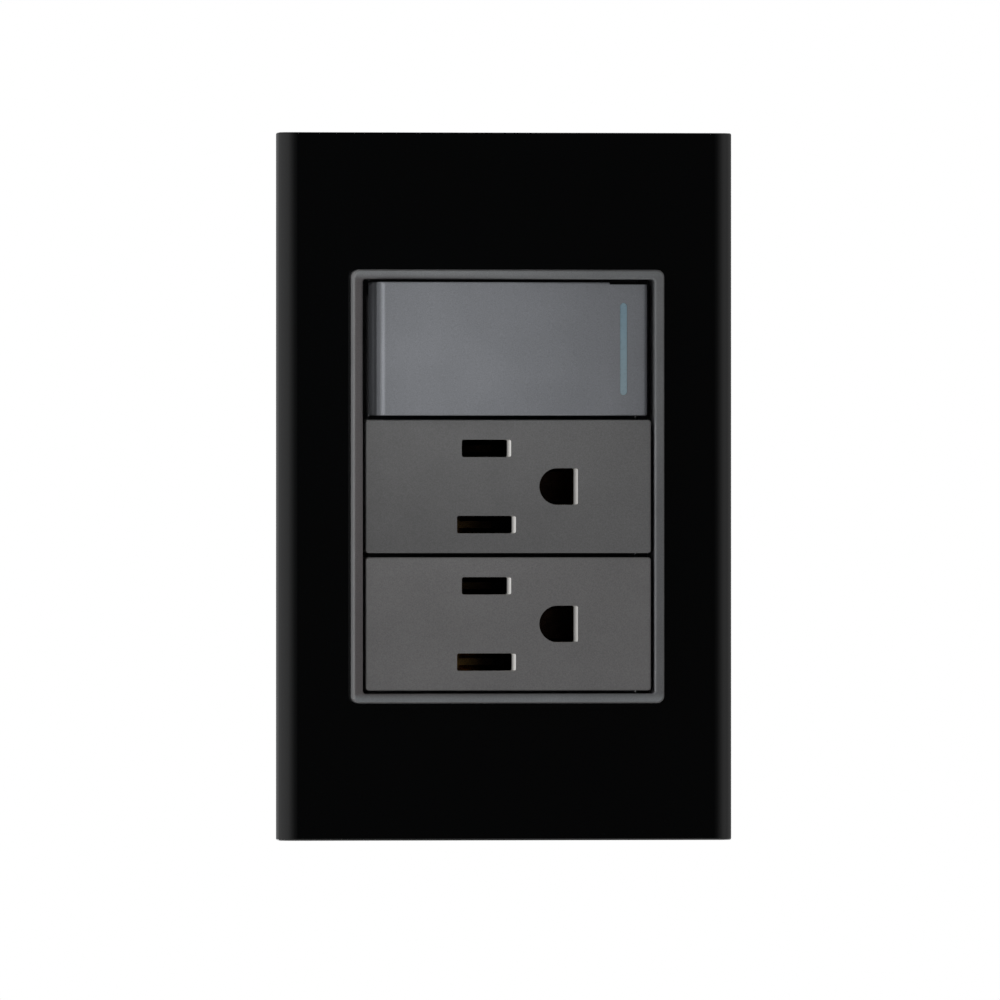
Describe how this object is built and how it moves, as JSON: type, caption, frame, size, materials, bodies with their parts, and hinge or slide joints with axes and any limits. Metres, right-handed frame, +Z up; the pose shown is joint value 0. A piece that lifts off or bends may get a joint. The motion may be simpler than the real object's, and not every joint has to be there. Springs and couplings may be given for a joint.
{
  "type": "switch and socket combination",
  "caption": "Black wall plate with a proud graphite bezel round a wide rocker switch and polarised three-pin sockets stacked below it.",
  "frame": {"origin": "on the wall surface behind the centre of the plate, midway between the two mounting screws", "axes": "+X to the right seen from the front, +Y into the wall along the mounting screws, +Z up along the plate's long side"},
  "size_m": [0.076, 0.0319, 0.118],
  "materials": {
    "gloss_black": "high gloss black with a very fine speckle",
    "graphite": "satin graphite paint with fine grain",
    "frame_plastic": "black moulded plastic",
    "housing_plastic": "dark grey insulating moulding",
    "mechanism_plastic": "off-white low-friction moulding",
    "lens": "translucent pale blue-grey",
    "lamp": "clear dome with tinned leads",
    "brass": "stamped brass sheet",
    "silver_contact": "silver alloy contact",
    "zinc_steel": "zinc-plated steel",
    "spring_steel": "drawn spring wire"
  },
  "bodies": {
    "base": {"cover_plate": "gloss_black", "bezel_frame": "graphite", "support_frame": "frame_plastic", "mounting_screws": "zinc_steel", "switch_housing": "housing_plastic", "switch_deck": "frame_plastic", "common_terminal": "brass", "load_terminal": "brass", "fixed_contact_rivet": "silver_contact", "indicator_lamp": "lamp", "switch_terminal_screws": "zinc_steel", "switch_clamps": "zinc_steel", "socket_1_cover": "graphite", "socket_1_body": "housing_plastic", "socket_1_line_contact": "brass", "socket_1_neutral_contact": "brass", "socket_1_ground_contact": "brass", "socket_1_clamps": "zinc_steel", "socket_1_terminal_screws": "zinc_steel", "socket_2_cover": "graphite", "socket_2_body": "housing_plastic", "socket_2_line_contact": "brass", "socket_2_neutral_contact": "brass", "socket_2_ground_contact": "brass", "socket_2_clamps": "zinc_steel", "socket_2_terminal_screws": "zinc_steel"},
    "rocker": {"rocker_cap": "graphite", "indicator_lens": "lens", "rocker_cradle": "mechanism_plastic", "plunger_spring": "spring_steel"},
    "plunger": {"plunger": "mechanism_plastic"},
    "contact": {"moving_contact": "brass", "moving_contact_rivet": "silver_contact"}
  },
  "joints": [
    {"name": "rocker_tilt", "type": "hinge", "parent": "base", "child": "rocker", "pos_m": [0, 0.0006, 0.0229], "axis": [0, 0, -1], "range_deg": [0, 9]},
    {"name": "plunger_slide", "type": "slide", "parent": "rocker", "child": "plunger", "axis": [0.0785, -0.9969, 0], "range_m": [0, 0.001], "stiffness_N_per_m": 300, "springref_m": -0.001, "deforming": ["plunger_spring"]},
    {"name": "contact_tilt", "type": "hinge", "parent": "base", "child": "contact", "pos_m": [0, 0.0128, 0.0229], "axis": [0, 0, 1], "range_deg": [0, 13]}
  ],
  "couplings": [
    {"joint": "contact_tilt", "follows": "rocker_tilt", "ratio": 1.4444}
  ]
}
